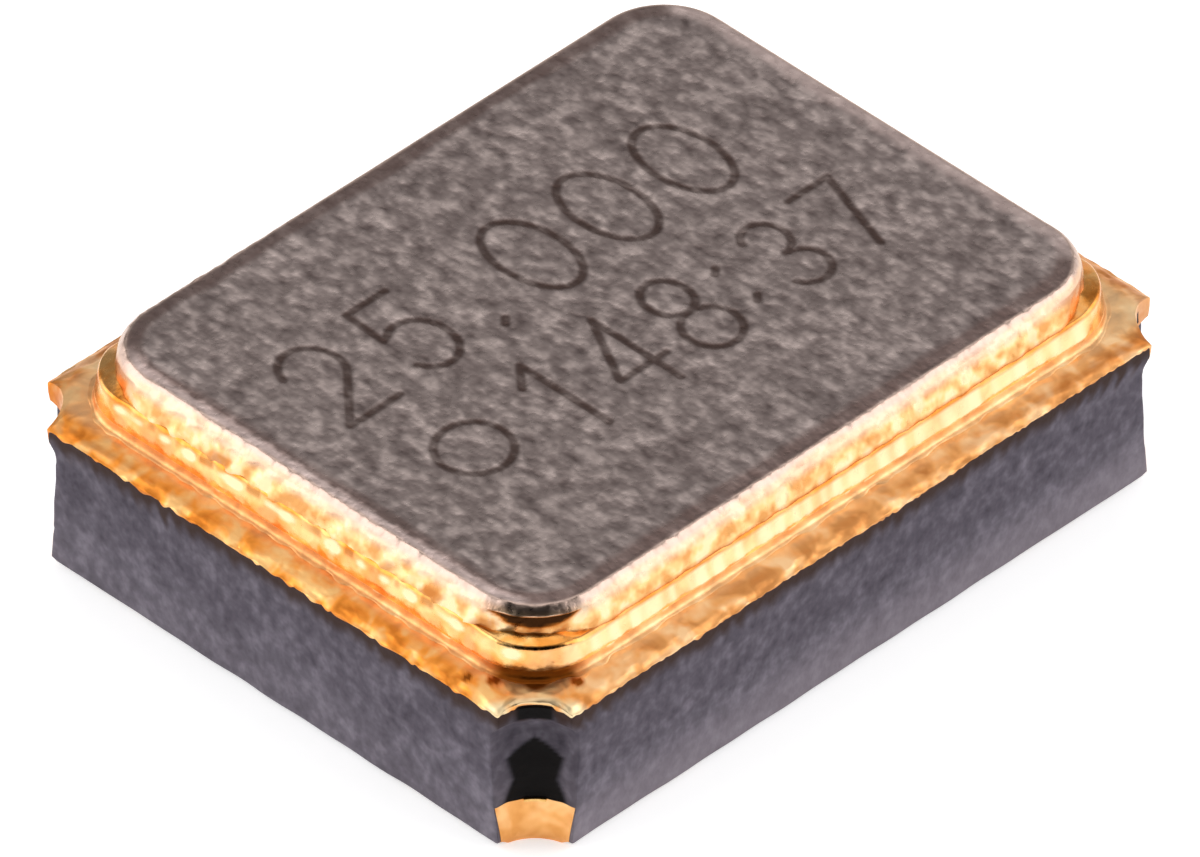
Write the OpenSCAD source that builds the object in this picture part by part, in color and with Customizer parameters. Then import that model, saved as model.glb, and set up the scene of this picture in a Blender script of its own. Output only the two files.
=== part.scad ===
// Quartz crystal oscillator in a seam-welded ceramic package, for surface mounting.
// A co-fired black alumina body carries a brazed seal ring and a welded nickel-plated lid.
// Inside, a chip lies in a pit and a quartz blank stands over it on two dots of adhesive.
// Millimetres. The origin is at the middle of the mounting face, +X runs along the length.

/* [Package] */
// Length of the ceramic body
package_length = 2.5; // [2.4:0.05:2.8]
// Width of the ceramic body
package_width = 2.0; // [1.9:0.05:2.3]
// Thickness of each of the four ceramic layers
layer_thickness = 0.118; // [0.1:0.005:0.15]

/* [Corner notches] */
// Radius of the corner notch in the bottom layer, under its plating
bottom_notch_radius = 0.155; // [0.12:0.005:0.16]
// Radius of the corner notch in the second layer
second_notch_radius = 0.165; // [0.16:0.005:0.2]
// Radius of the corner notch in the third layer
third_notch_radius = 0.178; // [0.12:0.005:0.2]
// Radius of the corner notch in the top layer
top_notch_radius = 0.14; // [0.1:0.005:0.2]

/* [Top rim] */
// Width of the sloped rim where the top face was scored and snapped
rim_width = 0.07; // [0.04:0.005:0.09]
// How far that rim falls from the top face to the side
rim_drop = 0.02; // [0.01:0.005:0.04]

/* [Seal land and ring] */
// Thickness of the plated metal that covers the top face
land_thickness = 0.01; // [0.005:0.001:0.02]
// Distance from the side of the body to the outer wall of the ring
ledge_width = 0.1; // [0.095:0.005:0.14]
// Width of the ring from its outer wall to its opening
ring_width = 0.2; // [0.16:0.01:0.24]
// Height of the ring
ring_height = 0.115; // [0.09:0.005:0.16]
// Outer corner radius of the ring
ring_corner_radius = 0.21; // [0.15:0.01:0.25]
// Corner radius of the ring's opening
opening_corner_radius = 0.12; // [0.08:0.01:0.18]
// Size of the bevel around the ring's top edge
ring_bevel = 0.015; // [0.005:0.005:0.02]
// Thickness of the braze under the ring
braze_thickness = 0.008; // [0.004:0.001:0.015]
// How far the braze runs out past the ring's walls
braze_toe = 0.012; // [0.005:0.001:0.02]

/* [Lid] */
// Thickness of the lid
lid_thickness = 0.07; // [0.06:0.005:0.1]
// Distance from the ring's outer wall to the side of the lid
lid_setback = 0.021; // [0.021:0.001:0.05]
// Corner radius of the side of the lid
lid_corner_radius = 0.26; // [0.25:0.01:0.3]
// Width of the rolled bevel around the lid's top face
lid_bevel_width = 0.066; // [0.02:0.002:0.08]
// Depth of that bevel
lid_bevel_depth = 0.055; // [0.02:0.005:0.055]

/* [Cavity] */
// Distance from the ring's opening to the wall of the upper cavity
cavity_setback = 0.04; // [0.03:0.005:0.07]
// Corner radius of the cavity and of the chip's pit
cavity_corner_radius = 0.06; // [0.03:0.005:0.09]
// Length of the ledge that carries the quartz blank
crystal_ledge = 0.28; // [0.24:0.01:0.32]
// Length of the ledge under the blank's free end
free_end_ledge = 0.2; // [0.15:0.01:0.25]
// Width of the ledges along the sides
side_ledge = 0.15; // [0.1:0.01:0.18]

/* [Quartz blank] */
// Gap between the blank and the cavity wall at the held end
held_end_gap = 0.07; // [0.04:0.005:0.09]
// Gap between the blank and the cavity wall at the free end
free_end_gap = 0.15; // [0.08:0.01:0.3]
// Gap between the blank and the cavity wall along each side
side_gap = 0.12; // [0.06:0.01:0.16]
// Thickness of the blank, which sets its frequency
blank_thickness = 0.066; // [0.04:0.002:0.085]
// Thickness of the metal film on each face
film_thickness = 0.003; // [0.002:0.001:0.005]
// Margin of bare quartz at the ends of the electrodes
electrode_end_margin = 0.3; // [0.2:0.01:0.36]
// Width of the tabs that lead from the electrodes to the held end
tab_width = 0.2; // [0.14:0.01:0.26]

/* [Crystal mounting] */
// Distance between the two mounting pads, centre to centre
mount_pitch = 0.6; // [0.5:0.02:0.66]
// Length of a mounting pad along the package
mount_pad_length = 0.2; // [0.19:0.01:0.22]
// Width of a mounting pad across the package
mount_pad_width = 0.3; // [0.2:0.01:0.34]
// Thickness of the plated conductors inside the cavity
conductor_thickness = 0.008; // [0.005:0.001:0.012]
// Radius of a dot of conductive adhesive
adhesive_radius = 0.08; // [0.06:0.005:0.09]
// Height of a dot of conductive adhesive
adhesive_height = 0.025; // [0.02:0.005:0.03]

/* [Chip] */
// Length of the chip
chip_length = 1.0; // [0.9:0.02:1.06]
// Width of the chip
chip_width = 0.74; // [0.68:0.02:0.8]
// Thickness of the chip
chip_thickness = 0.15; // [0.1:0.01:0.17]
// Distance from the chip's sides to the centres of its outer bumps
bump_inset = 0.1; // [0.08:0.01:0.12]
// Radius of a gold bump
bump_radius = 0.035; // [0.025:0.005:0.045]
// Height of a gold bump
bump_height = 0.02; // [0.015:0.005:0.03]
// Side of the square pad under each bump
bump_pad = 0.12; // [0.1:0.01:0.14]
// How far the underfill runs out past the chip
underfill_toe = 0.03; // [0.01:0.005:0.05]

/* [Conductors] */
// Width of the printed conductors between the lower two layers
trace_width = 0.06; // [0.04:0.01:0.08]
// Radius of the metal-filled holes through the layers
via_radius = 0.035; // [0.025:0.005:0.045]

/* [Terminals] */
// Length of a terminal along the package
terminal_length = 0.6; // [0.5:0.02:0.7]
// Width of a terminal across the package
terminal_width = 0.5; // [0.4:0.02:0.6]
// Distance from the terminals to the sides of the body
terminal_inset = 0.05; // [0.03:0.005:0.08]
// Thickness of the terminals under the body
terminal_thickness = 0.015; // [0.01:0.001:0.02]
// Thickness of the metal that lines the bottom notches
lining_thickness = 0.01; // [0.006:0.001:0.015]
// Size of the cut corner that marks the first terminal
first_terminal_cut = 0.16; // [0.1:0.01:0.2]

/* [Hidden] */
$fn = 64;
// Overshoot of cutting shapes
cut = 0.05;

// Heights, from the mounting face upwards
floor_z = terminal_thickness + layer_thickness;
ledge_z = terminal_thickness + 3 * layer_thickness;
body_top_z = terminal_thickness + 4 * layer_thickness;
land_top_z = body_top_z + land_thickness;
ring_z = land_top_z + braze_thickness;
lid_z = ring_z + ring_height;
bump_z = floor_z + conductor_thickness;
chip_z = bump_z + bump_height;
adhesive_z = ledge_z + conductor_thickness;
blank_z = adhesive_z + adhesive_height + film_thickness;
blank_top_z = blank_z + blank_thickness;
// The linings of the notches reach the top of the conductors that end on them
lining_top_z = bump_z;

// Radius that is left open in the bottom notches
lined_notch_radius = bottom_notch_radius - lining_thickness;

// Ring, lid and cavity outlines
ring_size = [package_length - 2 * ledge_width, package_width - 2 * ledge_width];
opening_size = ring_size - 2 * [ring_width, ring_width];
lid_size = ring_size - 2 * [lid_setback, lid_setback];
cavity_size = opening_size - 2 * [cavity_setback, cavity_setback];

// Pit of the chip, between the ledges
pit_x0 = -cavity_size.x / 2 + crystal_ledge;
pit_x1 = cavity_size.x / 2 - free_end_ledge;
pit_size = [pit_x1 - pit_x0, cavity_size.y - 2 * side_ledge];
chip_x = (pit_x0 + pit_x1) / 2;

// Quartz blank, held at its -X end
blank_x0 = -cavity_size.x / 2 + held_end_gap;
blank_x1 = cavity_size.x / 2 - free_end_gap;
blank_half_width = cavity_size.y / 2 - side_gap;
electrode_x0 = blank_x0 + electrode_end_margin;
electrode_x1 = blank_x1 - electrode_end_margin;
mount_x = -cavity_size.x / 2 + crystal_ledge / 2;
mount_y = mount_pitch / 2;

// Bumps of the chip, in two rows of three
bump_columns = [for (i = [-1:1]) chip_x + i * (chip_length / 2 - bump_inset)];
bump_y = chip_width / 2 - bump_inset;

// Ground via, in the wall between the cavity and the side of the body
ground_via_x = (cavity_size.x / 2 + package_length / 2) / 2;
ground_via_y = cavity_size.y / 2 - side_ledge;
// Line on which the outer conductors run, in the wall beside the pit
outer_lane_y = cavity_size.y / 2;

// Corners, in the order of the terminals
corner_signs = [[-1, -1], [1, -1], [1, 1], [-1, 1]];

alumina = "#4b464d";
gold = "#e0a54b";
nickel = "#8a8280";
tungsten = "#a8a095";
silicon = "#6d7480";
resin = "#3b3430";
silver_adhesive = "#9d9a94";
quartz = "#dfe6ea";

module rounded_rectangle(size, radius) {
    square([size.x - 2 * radius, size.y], center = true);
    square([size.x, size.y - 2 * radius], center = true);
    for (s = corner_signs)
        translate([s.x * (size.x / 2 - radius), s.y * (size.y / 2 - radius)]) circle(r = radius);
}

module rounded_slab(size, radius, height) {
    linear_extrude(height) rounded_rectangle(size, radius);
}

// Slab whose sides lean in by `inset` over its height, with cones at its corners
module tapered_slab(size, radius, height, inset) {
    straight = size - 2 * [radius, radius];
    rotate([90, 0, 0]) linear_extrude(straight.y, center = true) trapezium(size.x, height, inset);
    rotate([90, 0, 90]) linear_extrude(straight.x, center = true) trapezium(size.y, height, inset);
    for (s = corner_signs)
        translate([s.x * straight.x / 2, s.y * straight.y / 2])
            cylinder(h = height, r1 = radius, r2 = radius - inset);
}

module trapezium(width, height, inset) {
    polygon([[-width / 2, 0], [width / 2, 0], [width / 2 - inset, height], [inset - width / 2, height]]);
}

// Slab with a bevel around its top edge
module bevelled_slab(size, radius, height, bevel_width, bevel_depth) {
    rounded_slab(size, radius, height - bevel_depth);
    translate([0, 0, height - bevel_depth]) tapered_slab(size, radius, bevel_depth, bevel_width);
}

// Outline of a ceramic layer, with a quarter-round notch at each corner
module layer_outline(notch_radius) {
    difference() {
        square([package_length, package_width], center = true);
        for (s = corner_signs)
            translate([s.x * package_length / 2, s.y * package_width / 2]) circle(r = notch_radius);
    }
}

// Space under the top face and its sloped rims, wider than the body by `cut`
module under_rim(top_z) {
    intersection() {
        rotate([90, 0, 0])
            linear_extrude(package_width + 2 * cut, center = true) rim_profile(package_length, top_z);
        rotate([90, 0, 90])
            linear_extrude(package_length + 2 * cut, center = true) rim_profile(package_width, top_z);
    }
}

module rim_profile(width, top_z) {
    half = width / 2 + cut;
    low_z = top_z - rim_drop * (rim_width + cut) / rim_width;
    flat = width / 2 - rim_width;
    polygon([[-half, 0], [half, 0], [half, low_z], [flat, top_z], [-flat, top_z], [-half, low_z]]);
}

module ceramic_layer(index, notch_radius) {
    translate([0, 0, terminal_thickness + index * layer_thickness])
        linear_extrude(layer_thickness) layer_outline(notch_radius);
}

module pit() {
    translate([chip_x, 0, floor_z]) rounded_slab(pit_size, cavity_corner_radius, ledge_z - floor_z);
}

// Co-fired alumina body: four layers, fused into one piece
module ceramic_base() {
    color(alumina) difference() {
        union() {
            ceramic_layer(0, bottom_notch_radius);
            ceramic_layer(1, second_notch_radius);
            ceramic_layer(2, third_notch_radius);
            intersection() {
                ceramic_layer(3, top_notch_radius);
                under_rim(body_top_z);
            }
        }
        pit();
        translate([0, 0, ledge_z])
            rounded_slab(cavity_size, cavity_corner_radius, layer_thickness + cut);
        crystal_via_shapes();
        ground_via_shape();
        conductor_shapes();
    }
}

// Plated metal on the top face, down over the sloped rims
module seal_land() {
    color(gold) difference() {
        intersection() {
            translate([0, 0, ledge_z])
                linear_extrude(body_top_z - ledge_z + land_thickness) layer_outline(top_notch_radius);
            under_rim(land_top_z);
        }
        under_rim(body_top_z);
        rounded_slab(cavity_size, cavity_corner_radius, land_top_z + cut);
    }
}

// Silver-copper braze between the land and the ring
module braze_joint() {
    toe = [braze_toe, braze_toe];
    color(gold) translate([0, 0, land_top_z]) difference() {
        tapered_slab(ring_size + 2 * toe, ring_corner_radius + braze_toe, braze_thickness, braze_toe);
        translate([0, 0, -cut])
            rounded_slab(opening_size - 2 * toe, opening_corner_radius - braze_toe,
                         braze_thickness + 2 * cut);
    }
}

// Kovar ring that the lid is welded to
module seam_ring() {
    color(gold) translate([0, 0, ring_z]) difference() {
        bevelled_slab(ring_size, ring_corner_radius, ring_height, ring_bevel, ring_bevel);
        translate([0, 0, -cut])
            rounded_slab(opening_size, opening_corner_radius, ring_height + 2 * cut);
    }
}

// Kovar lid, its rim rolled down by the seam welder
module lid() {
    color(nickel) translate([0, 0, lid_z])
        bevelled_slab(lid_size, lid_corner_radius, lid_thickness, lid_bevel_width, lid_bevel_depth);
}

// Terminal under one corner, with the metal that lines its notch
module terminal(corner) {
    body_corner = [corner.x * package_length / 2, corner.y * package_width / 2];
    pad_corner = body_corner - [corner.x, corner.y] * terminal_inset;
    difference() {
        union() {
            translate([min(pad_corner.x, pad_corner.x - corner.x * terminal_length),
                       min(pad_corner.y, pad_corner.y - corner.y * terminal_width), 0])
                cube([terminal_length, terminal_width, terminal_thickness]);
            intersection() {
                translate(body_corner) cylinder(h = lining_top_z, r = bottom_notch_radius);
                translate([-package_length / 2, -package_width / 2, 0])
                    cube([package_length, package_width, lining_top_z]);
            }
        }
        translate([body_corner.x, body_corner.y, -cut])
            cylinder(h = lining_top_z + 2 * cut, r = lined_notch_radius);
    }
}

// Square bar, turned by 45 degrees, that takes the inner corner off the first terminal
module first_terminal_mark() {
    inner_corner = [
        terminal_inset + terminal_length - package_length / 2,
        terminal_inset + terminal_width - package_width / 2
    ];
    side = first_terminal_cut * sqrt(2);
    translate(inner_corner) rotate(45)
        cube([side, side, 2 * (terminal_thickness + cut)], center = true);
}

module terminal_1() {
    color(gold) difference() {
        terminal(corner_signs[0]);
        first_terminal_mark();
    }
}

module terminal_2() color(gold) terminal(corner_signs[1]);
module terminal_3() color(gold) terminal(corner_signs[2]);
module terminal_4() color(gold) terminal(corner_signs[3]);

// Straight conductor from one point to another, with square ends
module trace(from, to) {
    run = to - from;
    translate(from) rotate(atan2(run.y, run.x)) translate([-trace_width / 2, -trace_width / 2])
        square([norm(run) + trace_width, trace_width]);
}

module route(points) {
    for (i = [1:len(points) - 1]) trace(points[i - 1], points[i]);
}

// Conductors of one long side; `side` is 1 at +Y and -1 at -Y
module side_conductors(side) {
    first_bump = [bump_columns[0], side * bump_y];
    middle_bump = [bump_columns[1], side * bump_y];
    last_bump = [bump_columns[2], side * bump_y];
    lane = side * outer_lane_y;
    held_corner = [-package_length / 2, side * package_width / 2];
    free_corner = [package_length / 2, side * package_width / 2];
    route([first_bump, [mount_x, side * mount_y]]);
    route([middle_bump, [middle_bump.x, lane], [-cavity_size.x / 2, lane], held_corner]);
    route([last_bump, [last_bump.x, lane], [cavity_size.x / 2, lane], free_corner]);
    for (point = [first_bump, middle_bump, last_bump])
        translate(point) square(bump_pad, center = true);
}

// Every conductor between the lower two layers; the outer ones end against the linings of the notches
module conductor_shapes() {
    translate([0, 0, floor_z]) linear_extrude(conductor_thickness) intersection() {
        layer_outline(bottom_notch_radius);
        union() {
            side_conductors(-1);
            side_conductors(1);
            route([
                [ground_via_x, ground_via_y],
                [cavity_size.x / 2, ground_via_y],
                [cavity_size.x / 2, outer_lane_y]
            ]);
        }
    }
}

// Printed conductors from the chip to the terminals, to the crystal and to the ground via
module printed_traces() color(gold) conductor_shapes();

module crystal_via_shapes() {
    for (side = [-1, 1])
        translate([mount_x, side * mount_y, bump_z])
            cylinder(h = ledge_z - bump_z, r = via_radius);
}

module ground_via_shape() {
    translate([ground_via_x, ground_via_y, bump_z])
        cylinder(h = body_top_z - bump_z, r = via_radius);
}

// Metal-filled holes from the mounting pads down to the conductors
module crystal_vias() color(tungsten) crystal_via_shapes();

// Metal-filled hole that grounds the seal land and the lid
module ground_via() color(tungsten) ground_via_shape();

module chip_bump_shapes() {
    for (x = bump_columns, side = [-1, 1])
        translate([x, side * bump_y, bump_z]) cylinder(h = bump_height, r = bump_radius);
}

// Gold stud bumps under the chip
module chip_bumps() color(gold) chip_bump_shapes();

// Silicon chip, face down over its bumps
module chip() {
    color(silicon) translate([chip_x - chip_length / 2, -chip_width / 2, chip_z])
        cube([chip_length, chip_width, chip_thickness]);
}

// Resin that fills the space under the chip
module underfill() {
    size = [chip_length + 2 * underfill_toe, chip_width + 2 * underfill_toe];
    color(resin) difference() {
        translate([chip_x, 0, floor_z])
            tapered_slab(size, 2 * underfill_toe, chip_z - floor_z, underfill_toe);
        conductor_shapes();
        chip_bump_shapes();
    }
}

module mount_pad(side) {
    translate([mount_x, side * mount_y, ledge_z]) linear_extrude(conductor_thickness)
        square([mount_pad_length, mount_pad_width], center = true);
}

// Plated pads on the ledge, one for each electrode
module mount_pad_front() color(gold) mount_pad(-1);
module mount_pad_back() color(gold) mount_pad(1);

module adhesive(side) {
    translate([mount_x, side * mount_y, adhesive_z]) cylinder(h = adhesive_height, r = adhesive_radius);
}

// Silver-filled adhesive between the pads and the blank
module adhesive_front() color(silver_adhesive) adhesive(-1);
module adhesive_back() color(silver_adhesive) adhesive(1);

// Quartz plate, cut at the AT angle
module quartz_blank() {
    color(quartz) translate([blank_x0, -blank_half_width, blank_z])
        cube([blank_x1 - blank_x0, 2 * blank_half_width, blank_thickness]);
}

// Film over the middle of one face of the blank, with a tab to the held end
module electrode_film(side, z) {
    translate([electrode_x0, -mount_y, z])
        cube([electrode_x1 - electrode_x0, mount_pitch, film_thickness]);
    translate([blank_x0, side * mount_y - tab_width / 2, z])
        cube([electrode_x0 - blank_x0, tab_width, film_thickness]);
}

// Gold film on the lower face; its tab stands on the front dot of adhesive
module electrode_bottom() color(gold) electrode_film(-1, blank_z - film_thickness);

// Gold film on the upper face, folded over the held end onto the back dot of adhesive
module electrode_top() {
    fold_length = mount_x + adhesive_radius - blank_x0;
    color(gold) {
        electrode_film(1, blank_top_z);
        translate([blank_x0 - film_thickness, mount_y - tab_width / 2, blank_z - film_thickness])
            cube([film_thickness, tab_width, blank_thickness + 2 * film_thickness]);
        translate([blank_x0, mount_y - tab_width / 2, blank_z - film_thickness])
            cube([fold_length, tab_width, film_thickness]);
    }
}

ceramic_base();
seal_land();
braze_joint();
seam_ring();
lid();
terminal_1();
terminal_2();
terminal_3();
terminal_4();
printed_traces();
crystal_vias();
ground_via();
chip();
chip_bumps();
underfill();
mount_pad_front();
mount_pad_back();
adhesive_front();
adhesive_back();
quartz_blank();
electrode_top();
electrode_bottom();
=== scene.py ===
"""Looks of a surface-mount quartz oscillator.

It has a black ceramic body with gold-lined corner notches, a gold-plated seal land, a brazed ring, and a
nickel-plated lid that is seam welded onto the ring. Every length below is in millimetres and is turned into
metres where a mesh is made.
"""

import math

import bmesh
import bpy
import numpy as np
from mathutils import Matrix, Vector


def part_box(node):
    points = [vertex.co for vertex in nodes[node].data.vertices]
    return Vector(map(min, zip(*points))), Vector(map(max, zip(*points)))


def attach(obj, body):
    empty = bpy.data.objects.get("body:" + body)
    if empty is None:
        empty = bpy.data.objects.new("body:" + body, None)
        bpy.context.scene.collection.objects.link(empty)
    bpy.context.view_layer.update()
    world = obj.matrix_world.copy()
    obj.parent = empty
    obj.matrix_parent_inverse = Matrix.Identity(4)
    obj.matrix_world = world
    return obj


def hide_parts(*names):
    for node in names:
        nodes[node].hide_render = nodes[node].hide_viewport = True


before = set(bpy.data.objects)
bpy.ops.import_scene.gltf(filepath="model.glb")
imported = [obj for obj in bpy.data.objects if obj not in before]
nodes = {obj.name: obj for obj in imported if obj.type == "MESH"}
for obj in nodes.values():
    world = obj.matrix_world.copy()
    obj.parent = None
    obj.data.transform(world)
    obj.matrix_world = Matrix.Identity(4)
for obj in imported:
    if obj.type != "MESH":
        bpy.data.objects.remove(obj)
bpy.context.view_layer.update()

MM = 0.001
TAU = 2 * math.pi


# ======== Sizes, from the solids

def span(node):
    """Lowest and highest corner of a node, in millimetres."""
    low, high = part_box(node)
    return np.array(low) / MM, np.array(high) / MM


body_low, body_high = span("ceramic_base")
land_high = span("seal_land")[1]
ring_low, ring_high = span("seam_ring")
lid_high = span("lid")[1]

HALF = body_high[:2]              # half length and half width of the body
Z0 = body_low[2]                  # underside of the ceramic
TOP_Z = body_high[2]              # flat top of the ceramic
LAYER = (TOP_Z - Z0) / 4          # one ceramic layer
RING = ring_high[:2]              # outer half sizes of the ring
RING_RADIUS, RING_BORE_RADIUS = 0.21, 0.12
CAVITY = np.array([0.91, 0.66])   # half sizes of the upper cavity
PIT = np.array([0.67, 0.51])      # half sizes of the lower one, for the chip
PIT_SHIFT = 0.04                  # how far that one lies toward +X
CAVITY_RADIUS = 0.06              # corner radius of both
LINING = 0.0022                   # thickness of the plating that lines the bottom notches
FACE_SETBACK = 0.003              # the ceramic's sides lie this far inside the plating's lip
RIM_WIDTH, RIM_DROP = 0.07, 0.02  # the sloped rim of the top face
FACE_TOP_Z = TOP_Z - RIM_DROP     # where the ceramic's sides end
LAND = land_high[2] - TOP_Z       # thickness of the seal land

# Notch radius by height above the underside: where a notch meets the -X and -Y sides, and elsewhere
NOTCH_HEIGHTS = [0.0, 0.012, 0.030, 0.094, 0.118, 0.131, 0.150, 0.210, 0.297, 0.365, 0.386, 0.402, 0.412]
NOTCH_NEAR = [0.142, 0.140, 0.142, 0.150, 0.155, 0.155, 0.157, 0.160, 0.168, 0.168, 0.163, 0.148, 0.140]
NOTCH_FAR = [0.172] * 9 + [0.171, 0.165, 0.148, 0.140]
TOP_NOTCH = NOTCH_NEAR[-1]        # notch radius in the top face


# ======== Outlines, ripples and meshes

SIDE_X, SIDE_Y, ARC = 340, 270, 48      # points along a long side, a short side and a corner
SIDES = [SIDE_X, SIDE_Y, SIDE_X, SIDE_Y]


def outline(half, radius, notched=False):
    """Closed loop around a rectangle with rounded or notched corners, anticlockwise from its -Y side.

    Each side is a straight run between its corners. A rounded corner is a quarter circle about a centre
    inside it, and a notch is a quarter circle about the corner itself, run through the other way round.
    """
    hx, hy = half
    corners = [(hx, -hy), (hx, hy), (-hx, hy), (-hx, -hy)]
    points = []
    for i, count in enumerate(SIDES):
        start, end = np.array(corners[i - 1]), np.array(corners[i])
        along = (end - start) / np.linalg.norm(end - start)
        inward = np.array([-along[1], along[0]])
        a, b = start + along * radius, end - along * radius
        t = np.linspace(0, 1, count, endpoint=False)[:, None]
        points.append(a + (b - a) * t)
        f = np.linspace(0, math.pi / 2, ARC, endpoint=False)[:, None]
        if notched:
            points.append(end - along * radius * np.cos(f) + inward * radius * np.sin(f))
        else:
            centre = end - along * radius + inward * radius
            points.append(centre - inward * radius * np.cos(f) + along * radius * np.sin(f))
    return np.concatenate(points)


def soften(loop, width):
    """The loop with smoothed corners: each point becomes a bell-weighted mean of its neighbours."""
    reach = np.arange(-12, 13)
    bell = np.exp(-0.5 * (reach / width) ** 2)
    bell /= bell.sum()
    return sum(w * np.roll(loop, -k, axis=0) for k, w in zip(reach, bell))


def loop_length(loop):
    """Distance along a closed loop at each point, and its whole length."""
    steps = np.linalg.norm(np.roll(loop, -1, axis=0) - loop, axis=1)
    return np.concatenate([[0], np.cumsum(steps)[:-1]]), steps.sum()


def ripple(distance, length, longest, shortest, seed, count=60):
    """Seamless waviness of unit RMS along a loop: cosines with whole numbers of waves and random phases."""
    rng = np.random.default_rng(seed)
    waves = rng.integers(max(1, int(length / longest)), max(2, int(length / shortest)), count)
    phases = rng.uniform(0, TAU, count)
    total = np.cos(TAU * np.outer(distance / length, waves) + phases).sum(axis=1)
    return total / math.sqrt(count / 2)


def lobes(distance, length, pitch, seed):
    """Hanging scallops along a loop: |sin| of a phase that wanders, with uneven heights."""
    count = round(length / pitch)
    phase = count * distance / length + 0.30 * ripple(distance, length, 0.6, 0.12, seed)
    return np.abs(np.sin(math.pi * phase)) * (1 + 0.35 * ripple(distance, length, 0.5, 0.06, seed + 1))


def smooth_step(low, high, value):
    """0 below low, 1 above high, and 3t^2 - 2t^3 between them."""
    t = np.clip((value - low) / (high - low), 0, 1)
    return t * t * (3 - 2 * t)


def near_share(points):
    """1 within 0.06 mm of the -X or the -Y side, falling to 0 at 0.16 mm; a corner adds the two shares."""
    inset = points[:, :2] + HALF
    return np.minimum(1, smooth_step(0.16, 0.06, inset).sum(axis=1))


def notch_radii(z):
    """Notch radius at a height, near the -X and -Y sides and elsewhere."""
    return np.interp(z - Z0, NOTCH_HEIGHTS, NOTCH_NEAR), np.interp(z - Z0, NOTCH_HEIGHTS, NOTCH_FAR)


def lean(rise):
    """How far the ceramic's sides stand back at a height above its underside, on top of FACE_SETBACK."""
    return 0.004 * np.clip(1 - rise / (2 * LAYER), 0, 1) + 0.006 * smooth_step(0.012, 0.0, rise)


def lift(loop, z):
    """A flat loop at one height, or at a height for each point."""
    return np.column_stack([loop, np.broadcast_to(z, len(loop))])


def make_piece(name, points, faces, material, replaced, sharp, values=None):
    """Mesh object from points in millimetres, with edges above an angle in degrees left sharp.

    The values are per-point attributes that its material reads.
    """
    mesh = bpy.data.meshes.new(name)
    mesh.from_pydata((points * MM).tolist(), [], faces)
    mesh.validate()
    for key, data in (values or {}).items():
        attribute = mesh.attributes.new(key, "FLOAT", "POINT")
        attribute.data.foreach_set("value", np.asarray(data, np.float32))
    mesh.shade_smooth()
    mesh.set_sharp_from_angle(angle=math.radians(sharp))
    mesh.materials.append(material)
    piece = bpy.data.objects.new(name, mesh)
    bpy.context.scene.collection.objects.link(piece)
    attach(piece, "root")
    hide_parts(*replaced)
    return piece


def quads(index):
    """Quads between the neighbouring rows and columns of a grid of point numbers."""
    return np.stack([index[:-1, :-1], index[:-1, 1:], index[1:, 1:], index[1:, :-1]], axis=-1).reshape(-1, 4)


def loft(loops, close=False):
    """Points and faces of a skin through a stack of closed loops with equal counts.

    Row after row is joined by quads. The stack either closes on itself or is capped at both ends by fans
    about the loops' middles.
    """
    rows, count = len(loops), len(loops[0])
    points = np.concatenate(loops)
    index = np.arange(rows * count).reshape(rows, count)
    wrapped = np.column_stack([index, index[:, 0]])
    if close:
        return points, quads(np.vstack([wrapped, wrapped[0]])).tolist()
    middles = np.array([loops[0].mean(axis=0), loops[-1].mean(axis=0)])
    first, last = wrapped[0], wrapped[-1]
    first_cap = np.column_stack([first[1:], first[:-1], np.full(count, len(points))])
    last_cap = np.column_stack([last[:-1], last[1:], np.full(count, len(points) + 1)])
    return np.concatenate([points, middles]), quads(wrapped).tolist() + first_cap.tolist() + last_cap.tolist()


# ======== Materials: a pattern's scale is its number of lumps in a millimetre

def colour(code):
    """Linear RGBA from an sRGB hex code."""
    channels = [int(code[i:i + 2], 16) / 255 for i in (1, 3, 5)]
    return [c / 12.92 if c <= 0.04045 else ((c + 0.055) / 1.055) ** 2.4 for c in channels] + [1.0]


def add(tree, kind, inputs=None, stops=(), **settings):
    """Adds a shader node, makes its settings, fills its sockets and sets its colour stops.

    A socket takes a value, a link from another socket, or a link from another node's first output.
    """
    node = tree.nodes.new("ShaderNode" + kind)
    for key, value in settings.items():
        setattr(node, key, value)
    for key, value in (inputs or {}).items():
        if isinstance(value, bpy.types.Node):
            value = value.outputs[0]
        if isinstance(value, bpy.types.NodeSocket):
            tree.links.new(value, node.inputs[key])
        else:
            node.inputs[key].default_value = value
    for i, (position, code) in enumerate(stops):
        element = node.color_ramp.elements[i] if i < 2 else node.color_ramp.elements.new(position)
        element.position, element.color = position, colour(code)
    return node


def new_material(name):
    """An empty material and its node tree."""
    material = bpy.data.materials.new(name)
    material.use_nodes = True
    material.node_tree.nodes.clear()
    return material, material.node_tree


def complete(material, inputs):
    """Ends a material with its shader, which takes the inputs, and its output."""
    shader = add(material.node_tree, "BsdfPrincipled", inputs)
    add(material.node_tree, "OutputMaterial", {"Surface": shader})
    return material


def tinted(tree, base, tints):
    """The base colour with tints laid over it in turn, each by the share that its attribute holds."""
    for name, tint in tints:
        share = add(tree, "Attribute", attribute_name=name).outputs["Fac"]
        mix = add(tree, "Mix", {"Factor": share, "A": base, "B": tint}, data_type="RGBA")
        base = mix.outputs["Result"]
    return base


def scorched_and_shaded(tree, base, gain, amber, brown):
    """The base colour, turned amber and then brown by the attribute "scorch_and_shade": metal that the weld
    heated, and painted shade in creases, under the lid's overhanging edge and at some corners.
    """
    scorch_and_shade = add(tree, "Attribute", attribute_name="scorch_and_shade").outputs["Fac"]
    scorch_shade_tone = add(tree, "ValToRGB", {"Fac": scorch_and_shade}, stops=[(0.5, amber), (1.0, brown)])
    share = add(tree, "Math", {0: scorch_and_shade, 1: gain}, operation="MULTIPLY", use_clamp=True)
    mix = add(tree, "Mix", {"Factor": share, "A": base, "B": scorch_shade_tone}, data_type="RGBA")
    return mix.outputs["Result"]


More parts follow.
